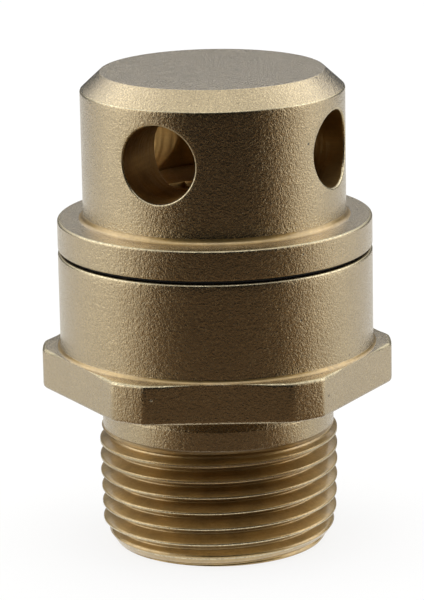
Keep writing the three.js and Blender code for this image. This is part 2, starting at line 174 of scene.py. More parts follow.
class ReliefTrimSettings(bpy.types.PropertyGroup):
    nozzle_bore: length("Nozzle bore", "Radius of the bore through the seat nozzle", 7.4)
    spring_wire: length("Spring wire", "Diameter of the spring's wire", 1.4)
    spring_coils: number("Coils", "Turns of the spring from end to end", 4.75)
    plug_pitch: length("Plug pitch", "Pitch of the adjusting plug's thread", 1.0)
    slot_inner: length("Slots from", "Inner radius of the plug's two kidney slots", 3.9)
    slot_outer: length("Slots to", "Outer radius of the plug's two kidney slots", 6.2)
    slot_span: degrees("Slot span", "Angle of each kidney slot", 62)
    pellet_azimuth: degrees("Pellet turn", "Angle of the locking pellet", 68)


class ReliefFinishSettings(bpy.types.PropertyGroup):
    blasted: tint("Blasted brass", "Colour of the shot-blasted skin", "#C2AE84")
    machined: tint("Machined brass", "Colour of cut threads", "#C2A468")
    drilled: tint("Drilled brass", "Colour of ports and bores", "#B8965E")
    # The paler colour of the edges, crests and port rims is a painted highlight, over some wear.
    bright: tint("Bright brass", "Colour of rubbed edges", "#E2D4B0")
    grain: length("Blast grain", "Width of one blasted dimple", 0.17)


class ReliefStudioSettings(bpy.types.PropertyGroup):
    floor: tint("Floor", "Colour of the floor", "#F4F4F2")
    side_power: number("Side lamps", "Power of each side lamp, in watts", 0.7)
    high_power: number("High lamps", "Power of each high lamp, in watts", 0.4)
    top_power: number("Top lamp", "Power of the overhead lamp, in watts", 0.7)
    strip_power: number("Edge strip", "Power of the high front strip, in watts", 0.2)
    lens: number("Lens", "Focal length, in millimetres", 200.15)


def mm(value):
    return value / MM


# ---------------------------------------------------------------- outlines and skins

# The third index paints a highlight, in a paler brass, on edges, crests and port rims, over some wear.
BLASTED, MACHINED, EDGE_HIGHLIGHT_WEAR, DRILLED = range(4)  # material indices on the two brass shells
# What each of the record's slots is finished with; the brass shells take all four, in the order above.
SLOT_FINISHES = {
    "blasted_brass": ("shot_blasted_brass", "machined_brass", "bright_brass", "drilled_brass"),
    "turned_brass": ("machined_brass",),
    "bronze": ("sintered_bronze",),
    "stainless": ("turned_stainless",),
    "spring_steel": ("drawn_spring_wire",),
    "fibre": ("pressed_fibre",),
    "elastomer": ("moulded_rubber",),
    "nylon": ("natural_nylon",),
}


def rounded(outline, steps=4):
    """An outline of (r, z) or (r, z, round) corners, with arcs in place of the rounded ones."""
    points = []
    for i, corner in enumerate(outline):
        here = Vector(corner[:2])
        if len(corner) == 2:
            points.append(tuple(here))
            continue
        before = Vector(outline[i - 1][:2]) - here
        after = Vector(outline[(i + 1) % len(outline)][:2]) - here
        if before.length < 1e-6 or after.length < 1e-6:
            points += [tuple(here)] * (steps + 1)
            continue
        half = before.angle(after) / 2
        if half > math.radians(89.5):
            points += [tuple(here)] * (steps + 1)
            continue
        run = min(corner[2] / math.tan(half), 0.49 * before.length, 0.49 * after.length)
        arm = run * math.tan(half)
        middle = before.normalized() + after.normalized()
        centre = here + middle.normalized() * arm / math.sin(half)
        first = here + before.normalized() * run - centre
        last = here + after.normalized() * run - centre
        sweep = math.pi - 2 * half
        for k in range(steps + 1):
            share = k / steps
            arm_now = first * math.sin((1 - share) * sweep) + last * math.sin(share * sweep)
            points.append(tuple(centre + arm_now / math.sin(sweep)))
    return points


def paint(strips, some, kind):
    """Gives some of an outline's strips another material index."""
    strips[some] = [kind] * len(strips[some])


def angles(count):
    return [TURN * i / count for i in range(count + 1)]


def swing(point, angle):
    r, z = point
    return (r * math.cos(angle), r * math.sin(angle), z)


def skin(columns, closed=True, finish=0):
    """Points and faces between neighbouring columns. finish is a material index, or one for each strip."""
    rows = len(columns[0])
    points = [p for column in columns for p in column]
    faces, kinds = [], []
    for i in range(len(columns) - 1):
        for j in range(rows if closed else rows - 1):
            k = (j + 1) % rows
            faces.append((i * rows + j, (i + 1) * rows + j, (i + 1) * rows + k, i * rows + k))
            kinds.append(finish if isinstance(finish, int) else finish[j])
    return points, faces, kinds


def turned(outline, count=128, closed=True, finish=0):
    """The skin of an outline turned round the valve's axis."""
    return skin([[swing(p, a) for p in outline] for a in angles(count)], closed, finish)


def ring(outer, inner, low, high, edge=0.1, count=128):
    """The skin of a flat ring or, with no inner radius, of a disc, with eased edges."""
    if inner > 0:
        corners = [(outer, low, edge), (outer, high, edge), (inner, high, edge), (inner, low, edge)]
        return turned(rounded(corners, 3), count)
    return turned(rounded([(0, low), (outer, low, edge), (outer, high, edge), (0, high)], 3), count, False)


def bar(columns):
    """The skin along a row of closed sections, with both ends shut."""
    points, faces, kinds = skin(columns)
    corners = len(columns[0])
    faces.append(tuple(range(corners)))
    faces.append(tuple(range(len(points) - 1, len(points) - corners - 1, -1)))
    return points, faces, [*kinds, 0, 0]


def radial_bar(azimuth, height, stations, sides=32):
    """A round bar along a horizontal radius, through stations of (distance from the axis, radius).

    The azimuth counts from -Y, turning towards +X."""
    out = Vector((math.sin(azimuth), -math.cos(azimuth), 0))
    across = Vector((math.cos(azimuth), math.sin(azimuth), 0))
    columns = []
    for distance, size in stations:
        circle = []
        for i in range(sides):
            side, rise = size * math.cos(TURN * i / sides), size * math.sin(TURN * i / sides)
            circle.append(tuple(out * distance + across * side + Vector((0, 0, height + rise))))
        columns.append(circle)
    return bar(columns)


def block(low, high):
    """A box between two corners, used to cut slots."""
    corners = ((low[0], low[1]), (high[0], low[1]), (high[0], high[1]), (low[0], high[1]))
    return bar([[(*corner, z) for corner in corners] for z in (low[2], high[2])])


def arc_bar(inner, outer, low, high, first, last, edge=0.0, steps=32):
    """A curved bar of rectangular section between two angles, for slots and for split rings."""
    corners = [(outer, low, edge), (outer, high, edge), (inner, high, edge), (inner, low, edge)]
    section = rounded(corners, 3) if edge else [c[:2] for c in corners]
    return bar([[swing(p, first + (last - first) * i / steps) for p in section] for i in range(steps + 1)])


def mesh_of(name, parts, materials, kind=None):
    """Joins skins into one closed mesh. kind gives every face one material index."""
    built = bmesh.new()
    for points, faces, kinds in parts:
        corners = [built.verts.new(Vector(p) * MM) for p in points]
        for face, own in zip(faces, kinds, strict=True):
            made = built.faces.new([corners[i] for i in face])
            made.material_index = own if kind is None else kind
            made.smooth = True
    bmesh.ops.remove_doubles(built, verts=built.verts, dist=0.4e-6)
    bmesh.ops.dissolve_degenerate(built, edges=built.edges, dist=0.2e-6)
    bmesh.ops.recalc_face_normals(built, faces=built.faces)
    mesh = bpy.data.meshes.new(name)
    built.to_mesh(mesh)
    built.free()
    for material in materials:
        mesh.materials.append(material)
    return mesh


def make_piece(node, parts, body, slot, tools=(), part_of="", finishes=()):
    """Makes the piece that stands for a node, with the tools' shapes cut out of it, on its body.

    A piece that stretches names two bodies and two heights, which are not used; it stays where it is made.
    part_of is added to the name of a piece that is part of its node."""
    made = finish_set()
    materials = [made[finish] for finish in finishes or SLOT_FINISHES[slot]]
    name = node + part_of + "_piece"
    piece = bpy.data.objects.new(name, mesh_of(name, parts, materials))
    bpy.context.scene.collection.objects.link(piece)
    cutters = []
    for number, tool in enumerate(tools):
        kind = min(MACHINED, len(materials) - 1)
        cutter = bpy.data.objects.new(f"cutter_{number}", mesh_of("cutter", [tool], materials, kind))
        bpy.context.scene.collection.objects.link(cutter)
        cutting = piece.modifiers.new("cut", "BOOLEAN")
        cutting.operation, cutting.solver, cutting.object = "DIFFERENCE", "EXACT", cutter
        cutters.append(cutter)
    if cutters:
        evaluated = piece.evaluated_get(bpy.context.evaluated_depsgraph_get())
        piece.data = bpy.data.meshes.new_from_object(evaluated)
        piece.modifiers.clear()
    for cutter in cutters:
        bpy.data.objects.remove(cutter)
    shading = piece.modifiers.new("even_shading", "WEIGHTED_NORMAL")
    shading.mode = "FACE_AREA"
    if isinstance(body, str):
        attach(piece, body)
    else:
        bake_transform(piece)
    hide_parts(node)
    return piece


def smooth_min(a, b, blend):
    """The lesser of two values, with the corner between them rounded off."""
    return -blend * math.log(math.exp(-a / blend) + math.exp(-b / blend))


# ---------------------------------------------------------------- threads

# One pitch of a thread: distance from the crest as a share of the pitch, and depth as a share of the whole.
THREAD_HALF = ((0.5, 1), (0.46, 0.99), (0.425, 0.94), (0.33, 0.7), (0.22, 0.42), (0.12, 0.16))
THREAD_HALF += ((0.085, 0.05), (0.045, 0))
THREAD_SECTION = [(-along, deep) for along, deep in THREAD_HALF] + list(reversed(THREAD_HALF[1:]))
# Crest strips take the paler edge brass: a painted highlight along each crest, with some wear.
CREST_DEPTH = 0.04  # strips shallower than this are rubbed bright


def thread_turns(low, high, crest, pitch):
    first = math.floor((low - crest) / pitch) - 2
    return range(first, math.ceil((high - crest) / pitch) + 2)


def thread_rows(angle, low, high, crest, pitch, surface, ends):
    """Points of a helical surface along one column, which starts and ends on the two end radii.

    Rows follow the helix, and those past an end fold into it, so that neighbours always match."""
    rows = []
    for turn in thread_turns(low, high, crest, pitch):
        for along, deep in THREAD_SECTION:
            height = crest + pitch * (turn + angle / TURN + along)
            if height <= low:
                rows.append((ends[0], low))
            elif height >= high:
                rows.append((ends[1], high))
            else:
                rows.append((surface(height, deep), height))
    return rows


def thread_finish(low, high, crest, pitch, groove, highlight_with_wear):
    kinds = []
    for _ in thread_turns(low, high, crest, pitch):
        for row, (_, deep) in enumerate(THREAD_SECTION):
            after = THREAD_SECTION[(row + 1) % len(THREAD_SECTION)][1]
            kinds.append(highlight_with_wear if max(deep, after) < CREST_DEPTH else groove)
    return kinds


def threaded(before, after, low, high, pitch, crest, depth, count=128):
    """The skin of a turned piece with a male thread between two heights, whose ends fade to its root.

    before is the outline that leads up to the thread, and after the one that closes it again."""
    root = crest - depth

    def surface(height, deep):
        return max(root, min(crest - deep * depth, root + 0.8 * min(height - low, high - height)))

    columns = []
    for angle in angles(count):
        rows = thread_rows(angle, low, high, low + pitch / 2, pitch, surface, (root, root))
        columns.append([swing(p, angle) for p in before + rows + after])
    return skin(columns)


# ---------------------------------------------------------------- materials


def add_node(tree, kind, inputs=None, **settings):
    """Adds a node with its settings, and links or sets its inputs."""
    node = tree.nodes.new(kind)
    for key, value in settings.items():
        setattr(node, key, value)
    for socket, value in (inputs or {}).items():
        if isinstance(value, bpy.types.NodeSocket):
            tree.links.new(value, node.inputs[socket])
        else:
            node.inputs[socket].default_value = value
    return node


def new_material(name, colour, metallic, roughness):
    """A material with its Principled shader, and the surface position in millimetres."""
    material = bpy.data.materials.new(name)
    material.use_nodes = True
    material.diffuse_color = (*colour, 1)
    tree = material.node_tree
    shader = tree.nodes["Principled BSDF"]
    shader.inputs["Base Color"].default_value = (*colour, 1)
    shader.inputs["Metallic"].default_value = metallic
    shader.inputs["Roughness"].default_value = roughness
    place = add_node(tree, "ShaderNodeTexCoord").outputs["Object"]
    scaled = add_node(tree, "ShaderNodeVectorMath", {0: place, "Scale": 1 / MM}, operation="SCALE")
    return material, tree, shader, scaled.outputs["Vector"]


def grain_noise(tree, place, width, detail=2.0, roughness=0.5):
    """Noise whose blotches are about as wide as said, in millimetres."""
    inputs = {"Vector": place, "Scale": 1 / width, "Detail": detail, "Roughness": roughness}
    return add_node(tree, "ShaderNodeTexNoise", inputs).outputs["Fac"]


def remap(tree, value, low, high, to_low, to_high):
    inputs = {"Value": value, "From Min": low, "From Max": high, "To Min": to_low, "To Max": to_high}
    return add_node(tree, "ShaderNodeMapRange", inputs).outputs["Result"]


def mix_colour(tree, share, first, second):
    node = add_node(tree, "ShaderNodeMix", {"Factor": share}, data_type="RGBA")
    for index, value in ((6, first), (7, second)):
        if isinstance(value, bpy.types.NodeSocket):
            tree.links.new(value, node.inputs[index])
        else:
            node.inputs[index].default_value = value
    return node.outputs[2]


def darker(colour, share):
    return (*[c * share for c in colour], 1)


def dress(tree, shader, colour, roughness, height, strength, depth):
    """Links a colour, a roughness and a relief, whose depth is in millimetres, to a shader."""
    bump = add_node(tree, "ShaderNodeBump", {"Height": height, "Strength": strength, "Distance": depth * MM})
    normal = bump.outputs["Normal"]
    for socket, value in (("Base Color", colour), ("Roughness", roughness), ("Normal", normal)):
        tree.links.new(value, shader.inputs[socket])
    return normal


def oxide_film(shader):
    """A few months' oxide on brass: it pales the metal where it is seen at a slant."""
    shader.inputs["Coat Weight"].default_value = 1.0
    shader.inputs["Coat IOR"].default_value = 1.75
    shader.inputs["Coat Roughness"].default_value = 0.24


def blasted_brass(finish):
    """Leaded brass bar, turned and then shot-blasted: a soft satin made of tiny dimples, with a few pits."""
    colour = tuple(finish.blasted)
    material, tree, shader, place = new_material("shot_blasted_brass", colour, 1.0, 0.36)
    oxide_film(shader)
    dimples = grain_noise(tree, place, mm(finish.grain), 2.0, 0.6)
    # The turned surface under the blast: lumps of nearly half a millimetre, which make edges ragged.
    lumps = grain_noise(tree, place, 0.35, 2.0, 0.5)
    clouds = grain_noise(tree, place, 4.0, 3.0)
    cloudy = remap(tree, clouds, 0.35, 0.65, 0, 1)
    toned = mix_colour(tree, cloudy, darker(colour, 0.94), darker(colour, 1.05))
    speckled = mix_colour(tree, remap(tree, dimples, 0.4, 0.62, 0.0, 1.0), darker(colour, 0.74), toned)
    # Sparse pits, a quarter of a millimetre across, where the blast found a soft spot; their near-black
    # colour is painted shade in the hollow.
    cells = add_node(tree, "ShaderNodeTexVoronoi", {"Vector": place, "Scale": 0.3, "Randomness": 1.0})
    pits = remap(tree, cells.outputs["Distance"], 0.025, 0.045, 1.0, 0.0)
    pit_shaded = mix_colour(tree, pits, speckled, darker(colour, 0.2))
    # Single grains stand proud of the skin: matt specks that catch light from every side.
    grains = grain_noise(tree, place, 0.75 * mm(finish.grain), 1.0, 0.5)
    roughness = remap(tree, grains, 0.61, 0.71, 0.17, 0.72)
    terms = {0: lumps, 1: 0.8, 2: dimples}
    both = add_node(tree, "ShaderNodeMath", terms, operation="MULTIPLY_ADD").outputs[0]
    relief = add_node(tree, "ShaderNodeMath", {0: both, 1: pits}, operation="SUBTRACT").outputs[0]
    tree.links.new(dress(tree, shader, pit_shaded, roughness, relief, 1.0, 0.056), shader.inputs["Coat Normal"])
    return material


def machined_brass(name, colour, filmed):
    """Free-cutting brass as the tool left it: deeper in colour than the blasted skin, with tool rings."""
    colour = tuple(colour)
    material, tree, shader, place = new_material(name, colour, 1.0, 0.36)
    if filmed:
        oxide_film(shader)
    stretched = add_node(tree, "ShaderNodeVectorMath", {0: place, 1: (0.15, 0.15, 9.0)}, operation="MULTIPLY")
    rings = grain_noise(tree, stretched.outputs["Vector"], 1.0, 3.0, 0.6)
    specks = grain_noise(tree, place, 0.3, 3.0, 0.65)
    stains = grain_noise(tree, place, 2.4, 4.0, 0.6)
    toned = mix_colour(tree, remap(tree, stains, 0.4, 0.7, 0, 1), darker(colour, 1.05), darker(colour, 0.7))
    lined = mix_colour(tree, remap(tree, rings, 0.35, 0.65, 0, 0.5), toned, darker(colour, 0.72))
    height = add_node(tree, "ShaderNodeMath", {0: rings, 1: specks}, operation="ADD").outputs[0]
    dress(tree, shader, lined, remap(tree, specks, 0.3, 0.7, 0.34, 0.56), height, 0.4, 0.02)
    return material


def bright_brass(finish):
    """Paler, glossier brass on edges, crests and port rims: its pale colour is a painted highlight there,
    over some wear from handling and from the drill's exit.
    """
    colour = tuple(finish.bright)
    material, tree, shader, place = new_material("bright_brass", colour, 1.0, 0.28)
    nicks = grain_noise(tree, place, 0.25, 3.0, 0.7)
    worn = mix_colour(tree, remap(tree, nicks, 0.4, 0.62, 0, 1), darker(colour, 0.55), darker(colour, 1.0))
    dress(tree, shader, worn, remap(tree, nicks, 0.35, 0.65, 0.42, 0.2), nicks, 0.5, 0.03)
    return material


def turned_metal(name, hex_colour, ring_width, roughness):
    """Lathe-turned or drawn metal: faint rings from the tool, with a little haze between them."""
    colour = linear(hex_colour)
    material, tree, shader, place = new_material(name, colour, 1.0, roughness)
    across = add_node(tree, "ShaderNodeVectorMath", {0: place, 1: (0.2, 0.2, 1.0)}, operation="MULTIPLY")
    rings = grain_noise(tree, across.outputs["Vector"], ring_width, 2.0)
    ringed = mix_colour(tree, rings, darker(colour, 0.8), darker(colour, 1.1))
    hazy = remap(tree, rings, 0.3, 0.7, roughness - 0.06, roughness + 0.08)
    dress(tree, shader, ringed, hazy, rings, 0.3, 0.01)
    return material


def soft_solid(name, hex_colour, grain, roughness, depth):
    """Moulded or pressed non-metal, such as rubber, fibre or nylon: matt, with a fine tooth."""
    colour = linear(hex_colour)
    material, tree, shader, place = new_material(name, colour, 0.0, roughness)
    tooth = grain_noise(tree, place, grain, 3.0, 0.6)
    toothed = mix_colour(tree, tooth, darker(colour, 0.75), darker(colour, 1.2))
    hazy = remap(tree, tooth, 0.3, 0.7, roughness - 0.08, roughness + 0.08)
    dress(tree, shader, toothed, hazy, tooth, 0.5, depth)
    return material


def finish_set():
    """Every finish of the valve, made once."""
    made = {m.name: m for m in bpy.data.materials if m.get("relief_finish")}
    if made:
        return made
    finish = bpy.context.scene.relief_finish
    made = [
        blasted_brass(finish),
        machined_brass("machined_brass", finish.machined, True),
        machined_brass("drilled_brass", finish.drilled, False),
        bright_brass(finish),
        turned_metal("turned_stainless", "#B9BBBC", 0.12, 0.3),
        turned_metal("drawn_spring_wire", "#9C9FA2", 0.5, 0.34),
        turned_metal("sintered_bronze", "#9C7440", 0.2, 0.5),
        soft_solid("pressed_fibre", "#161412", 0.2, 0.85, 0.03),
        soft_solid("moulded_rubber", "#1B1B1A", 0.1, 0.6, 0.01),
        soft_solid("natural_nylon", "#DCD8C9", 0.3, 0.5, 0.01),
    ]
    for material in made:
        material["relief_finish"] = True
    return {m.name: m for m in made}


# ---------------------------------------------------------------- inlet body


def hexagon_radius(azimuth, sizes):
    """Distance from the axis to the hexagon's side, whose corners are turned and slightly soft."""
    sixth = TURN / 6
    off = (azimuth - sizes.hexagon_azimuth + sixth / 2) % sixth - sixth / 2
    flat = mm(sizes.across_flats) / 2 / math.cos(off)
    return smooth_min(flat, mm(sizes.corner_radius), 0.06)


def body_angles(sizes, count=240):
    """Column angles, closer together at the twelve upright edges of the hexagon."""
    spots = {round(math.degrees(a), 4) for a in angles(count)}
    edge = math.degrees(math.acos(sizes.across_flats / 2 / sizes.corner_radius))
    for side in range(6):
        middle = math.degrees(sizes.hexagon_azimuth) - 90 + 60 * side
        for corner in (middle - edge, middle + edge):
            for step in (-1.0, -0.6, -0.35, -0.15, 0, 0.15, 0.35, 0.6, 1.0):
                spots.add(round((corner + step) % 360, 4))
    return [math.radians(a) for a in sorted(spots)]


LOCK_PIN_AZIMUTH = math.radians(205)
# Strips of the body's outside, counted along its rounded outline.
HEXAGON_EDGE, HEXAGON_CORNER_REFLECTION, SEAM_EDGE = slice(26, 29), slice(32, 37), slice(42, 45)
INNER_STRIPS = 8  # the last strips of that outline are inside the body


def inlet_skin(sizes):
    pitch, depth = mm(sizes.thread_pitch), mm(sizes.thread_depth)
    blank, neck, thread_top = mm(sizes.blank_radius), mm(sizes.neck_radius), mm(sizes.thread_top)
    body, edge, fillet = mm(sizes.body_radius), mm(sizes.edge), mm(sizes.foot_fillet)
    hex_low, hex_high = mm(sizes.hexagon_bottom), mm(sizes.hexagon_top)
    seam = top("inlet_body")
    face, lead_in = 11.75, 1.9
    bore, bore_top, cavity, cavity_floor, thread_bore = 8.4, 13.25, 12.6, 20.0, 14.9
    undercut, undercut_low = 12.2, 15.65
    front_crest = 12.0 - 4 * pitch  # a crest's height under the middle of the front flat
    crest = front_crest + pitch * (0.25 - sizes.hexagon_azimuth / TURN)  # the same crest where angles start
    nozzle_bore = radius("seat_nozzle")

    def crest_radius(height):
        return mm(sizes.crest_radius) + height / 32

    def surface(height, deep):
        wear = 0.025 * noise.noise(Vector((height * 0.9, deep * 2, crest)))
        cut = crest_radius(height) - deep * depth + wear
        chamfer = face + (crest_radius(lead_in) - 0.1 - face) * height / lead_in
        run_out = neck - (thread_top - height)
        shoulder = blank if height < thread_top - 0.35 else blank - (height - thread_top + 0.35) * 1.1
        return max(min(cut, chamfer, shoulder), min(run_out, neck))

    def lower():
        return [(bore, 0.7), (bore + 0.6, 0.0, 0.1), (face - 0.05, 0.0)]

    def upper(outer):
        foot = []
        for step in range(9):
            turn = step / 8 * math.pi / 2
            foot_radius = smooth_min(body + fillet * (1 - math.sin(turn)), outer - 0.01, 0.03)
            foot.append((foot_radius, hex_high + fillet * (1 - math.cos(turn))))
        return [
            (neck, thread_top + 0.2, 0.1),
            (neck, undercut_low, 0.15),
            (undercut, hex_low - 0.35, 0.3),
            (undercut + 0.4, hex_low, 0.1),
            (outer, hex_low, edge),
            (outer, hex_high, edge * 0.8),
            *foot,
            (body, hex_high + 2.5),
            (body, seam - 1.0),
            (body, seam, 0.28),
            (thread_bore + 0.3, seam, 0.1),
            (thread_bore, seam - 0.3),
            (thread_bore, 24.8),
            (cavity, 24.2),
            (cavity, cavity_floor),
            (nozzle_bore - 1.4, cavity_floor),
            (nozzle_bore - 1.4, bore_top),
            (bore, bore_top),
        ]

    columns = []
    for angle in body_angles(sizes):
        outer = hexagon_radius(angle + math.pi / 2, sizes)
        start, end = rounded(lower()), rounded(upper(outer))
        rows = thread_rows(angle, 0.0, thread_top, crest, pitch, surface, (face, neck))
        columns.append([swing(p, angle) for p in start + rows + end])
    outside = [BLASTED] * (len(end) - INNER_STRIPS) + [MACHINED] * INNER_STRIPS
    # Paler brass paints the edges' highlight, over some handling wear; golden machined brass in the corner on
    # the hexagon paints the reflection of the brass round it.
    paint(outside, HEXAGON_EDGE, EDGE_HIGHLIGHT_WEAR)
    paint(outside, HEXAGON_CORNER_REFLECTION, MACHINED)
    paint(outside, SEAM_EDGE, EDGE_HIGHLIGHT_WEAR)
    # The thread's crests take the paler edge brass: a painted highlight along each crest, with some wear.
    grooves = thread_finish(0.0, thread_top, crest, pitch, MACHINED, EDGE_HIGHLIGHT_WEAR)
    return skin(columns, True, [MACHINED] * len(start) + grooves + outside)


def lock_pin_hole(inner, outer):
    """A tool for the hole that the cap's lock pin sits in."""
    size = half_height("cap_lock_pin") + 0.1
    return radial_bar(LOCK_PIN_AZIMUTH, middle_height("cap_lock_pin"), [(inner, size), (outer, size)])


class RELIEF_OT_inlet_body(bpy.types.Operator):
    """Turned body with its hexagon and the male taper thread of the inlet"""

    bl_idname = "relief.inlet_body"
    bl_label = "Inlet body"

    def execute(self, context):
        part = inlet_skin(context.scene.relief_body)
        make_piece("inlet_body", [part], "casing", "blasted_brass", [lock_pin_hole(14.0, 18.5)])
        return {"FINISHED"}


# ---------------------------------------------------------------- discharge cap

CAP_COLUMNS = 192  # a multiple of the four ports
SIDE_STEPS = 20  # rows of the band that the ports pass through
PATCH_HALF_WIDTH = 7.5  # half a port's patch across, near enough to aim its columns
TUBE_STEPS = 40  # rows along a port's wall
# Strips of the cap's outside, counted along its rounded outlines.
SKIRT_STRIPS, LEDGE_EDGE, LEDGE_CORNER_REFLECTION, CROWN_EDGE = 7, slice(17, 21), slice(23, 28), slice(3, 5)


def port_frame(wall, sizes, low, high, rings, rim_loops):
    """Four patches of a round wall, each with a hole drilled square to it, and each hole's last loop.

    Every patch runs from the hole's edge out to a quarter of the wall, so it meets the turned skins
    above and below it. rim_loops are (distance past the hole's radius, depth into the wall), and the
    drill left a burr on each that wanders by a fifth of that distance."""
    port, height = mm(sizes.port_radius), mm(sizes.port_height)
    quarter = TURN / 4
    across = CAP_COLUMNS // 4
    border = [(-0.5 + i / across, 0.0) for i in range(across)]
    border += [(0.5, i / SIDE_STEPS) for i in range(SIDE_STEPS)]
    border += [(0.5 - i / across, 1.0) for i in range(across)]
    border += [(-0.5, 1 - i / SIDE_STEPS) for i in range(SIDE_STEPS)]
    # Each border point with its direction from the middle of the hole.
    border = [(a, up, math.atan2((up - 0.5) * (high - low), a * 2 * PATCH_HALF_WIDTH)) for a, up in border]
    reach = port + rim_loops[0][0]
    parts, mouths = [], []
    for index in range(4):
        middle = index * quarter - quarter
        loops = []
        for ring_index in range(rings):
            share = 1 - ring_index / rings
            loop = []
            for along, up, to in border:
                hole_angle = math.asin(reach * math.cos(to) / wall)
                hole_height = height + reach * math.sin(to)
                angle = hole_angle + (along * quarter - hole_angle) * share
                level = hole_height + (low + (high - low) * up - hole_height) * share
                loop.append((wall * math.cos(middle + angle), wall * math.sin(middle + angle), level))
            loops.append(loop)
        for past, deep in rim_loops:
            loop = []
            for _, _, to in border:
                cosine, sine = math.cos(to), math.sin(to)
                burr = 0.18 * past * noise.noise(Vector((5 * cosine, 5 * sine, index + 3)))
                side = (port + past + burr) * cosine
                out = math.sqrt(wall**2 - side**2) - deep
                x = out * math.cos(middle) - side * math.sin(middle)
                y = out * math.sin(middle) + side * math.cos(middle)
                loop.append((x, y, height + (port + past + burr) * sine))
            loops.append(loop)
        kinds = [0] * rings + [1] * (len(rim_loops) - 1)
        parts.append((loops, kinds))
        mouths.append(loops[-1])
    return parts, mouths


def loop_skin(loops, kinds):
    """The skin between closed loops, with a material index for each strip."""
    columns = [loop + loop[:1] for loop in loops]
    points = [p for column in columns for p in column]
    rows = len(columns[0])
    faces, finish = [], []
    for i in range(len(columns) - 1):
        for j in range(rows - 1):
            faces.append((i * rows + j, i * rows + j + 1, (i + 1) * rows + j + 1, (i + 1) * rows + j))
            finish.append(kinds[i])
    return points, faces, finish


def cap_skins(sizes):
    barrel, bore = mm(sizes.barrel_radius), mm(sizes.bore_radius)
    ledge, shoulder, crown = mm(sizes.ledge), mm(sizes.shoulder), top("discharge_cap")
    flange, seam = radius("discharge_cap"), top("inlet_body") + 0.35
    skirt = bottom("discharge_cap")
    band = (mm(sizes.port_height) - 5.1, mm(sizes.port_height) + 5.1)
    chamber, chamber_roof, bore_foot, roof_height = 12.0, 30.0, 34.6, 51.0
    rim = mm(sizes.rim)
    skirt_radius, skirt_pitch, skirt_depth = 14.8, 2.0, 1.1
    skirt_top = seam - 1.0

    def surface(height, deep):
        cut = skirt_radius - deep * skirt_depth
        lead = skirt_radius - skirt_depth + (height - skirt) * 1.2
        fade = skirt_radius - skirt_depth + max(0, height - skirt_top + 1.2) * 0.9
        return max(min(cut, lead), min(fade, skirt_radius - 0.5) if height > skirt_top - 1.2 else 0)

    crest = skirt + 1.3
    ends = (skirt_radius - skirt_depth, skirt_radius - skirt_depth)
    inner = [(bore, band[0]), (bore, bore_foot, 0.3), (chamber, chamber_roof, 0.3), (chamber, skirt, 0.2)]
    inner = rounded([*inner, (ends[0] - 0.2, skirt)])
    outer = rounded(
        [
            (ends[1], skirt_top),
            (ends[1], seam, 0.2),
            (flange, seam, 0.25),
            (flange, ledge, 0.28),
            (barrel, ledge, 0.65),
            (barrel, band[0]),
        ],
        6,
    )
    columns = []
    for angle in angles(CAP_COLUMNS):
        rows = thread_rows(angle, skirt, skirt_top, crest, skirt_pitch, surface, ends)
        columns.append([swing(p, angle) for p in inner + rows + outer])
    grooves = thread_finish(skirt, skirt_top, crest, skirt_pitch, MACHINED, MACHINED)
    outside = [MACHINED] * SKIRT_STRIPS + [BLASTED] * (len(outer) - SKIRT_STRIPS)
    # Paler brass paints the edges' highlight, over some handling wear; golden machined brass in the corner on
    # the ledge paints the reflection of the brass round it.
    paint(outside, LEDGE_EDGE, EDGE_HIGHLIGHT_WEAR)
    paint(outside, LEDGE_CORNER_REFLECTION, MACHINED)
    lower = skin(columns, False, [DRILLED] * len(inner) + grooves + outside)
    crown_outline = [(barrel, band[1]), (barrel, shoulder, 0.3), (mm(sizes.top_radius), crown, 0.22)]
    crown_outline += [(9.0, crown), (4.5, crown), (0, crown)]
    crown_outline = rounded([(barrel, band[1] - 1), *crown_outline])[1:]
    crown_finish = [BLASTED] * len(crown_outline)
    # The shoulder's edge takes the paler brass: a painted highlight, over some wear.
    paint(crown_finish, CROWN_EDGE, EDGE_HIGHLIGHT_WEAR)
    upper = turned(crown_outline, CAP_COLUMNS, False, crown_finish)
    roof_outline = rounded([(0, roof_height), (bore, roof_height, 0.4), (bore, band[1])])
    roof = turned(roof_outline, CAP_COLUMNS, False, DRILLED)

    rim_loops = [(rim, 0), (rim * 0.6, 0.02), (rim * 0.25, 0.09), (0, 0.24)]
    outside, mouths = port_frame(barrel, sizes, *band, 9, rim_loops)
    inside, throats = port_frame(bore, sizes, *band, 7, [(0.12, 0), (0.04, -0.03), (0, -0.12)])
    parts = [lower, upper, roof]
    for loops, kinds in outside:
        # Each port's rim takes the paler edge brass: a painted highlight, with some bare metal from the
        # drill.
        parts.append(loop_skin(loops, [BLASTED if k == 0 else EDGE_HIGHLIGHT_WEAR for k in kinds]))
    for loops, kinds in inside:
        parts.append(loop_skin(loops, [DRILLED] * len(kinds)))
    for index, (mouth, throat) in enumerate(zip(mouths, throats, strict=True)):
        azimuth = index * TURN / 4 - TURN / 4
        middle = Vector((math.cos(azimuth), math.sin(azimuth), 0))
        loops = []
        for step in range(TUBE_STEPS + 1):
            loop = []
            for near, far in zip(mouth, throat, strict=True):
                point = Vector(near).lerp(Vector(far), step / TUBE_STEPS)
                along = point.dot(middle)
                axis = middle * along + Vector((0, 0, mm(sizes.port_height)))
                away = point - axis
                # Feed marks of the drill: shallow rings on the port's wall, but not at its two ends.
                wobble = 0.013 * noise.noise(Vector((index, away.z * 0.12, along * 3.4)))
                loop.append(tuple(axis + away * (1 + (wobble if 0 < step < TUBE_STEPS else 0))))
            loops.append(loop)
        parts.append(loop_skin(loops, [DRILLED] * TUBE_STEPS))
    return parts


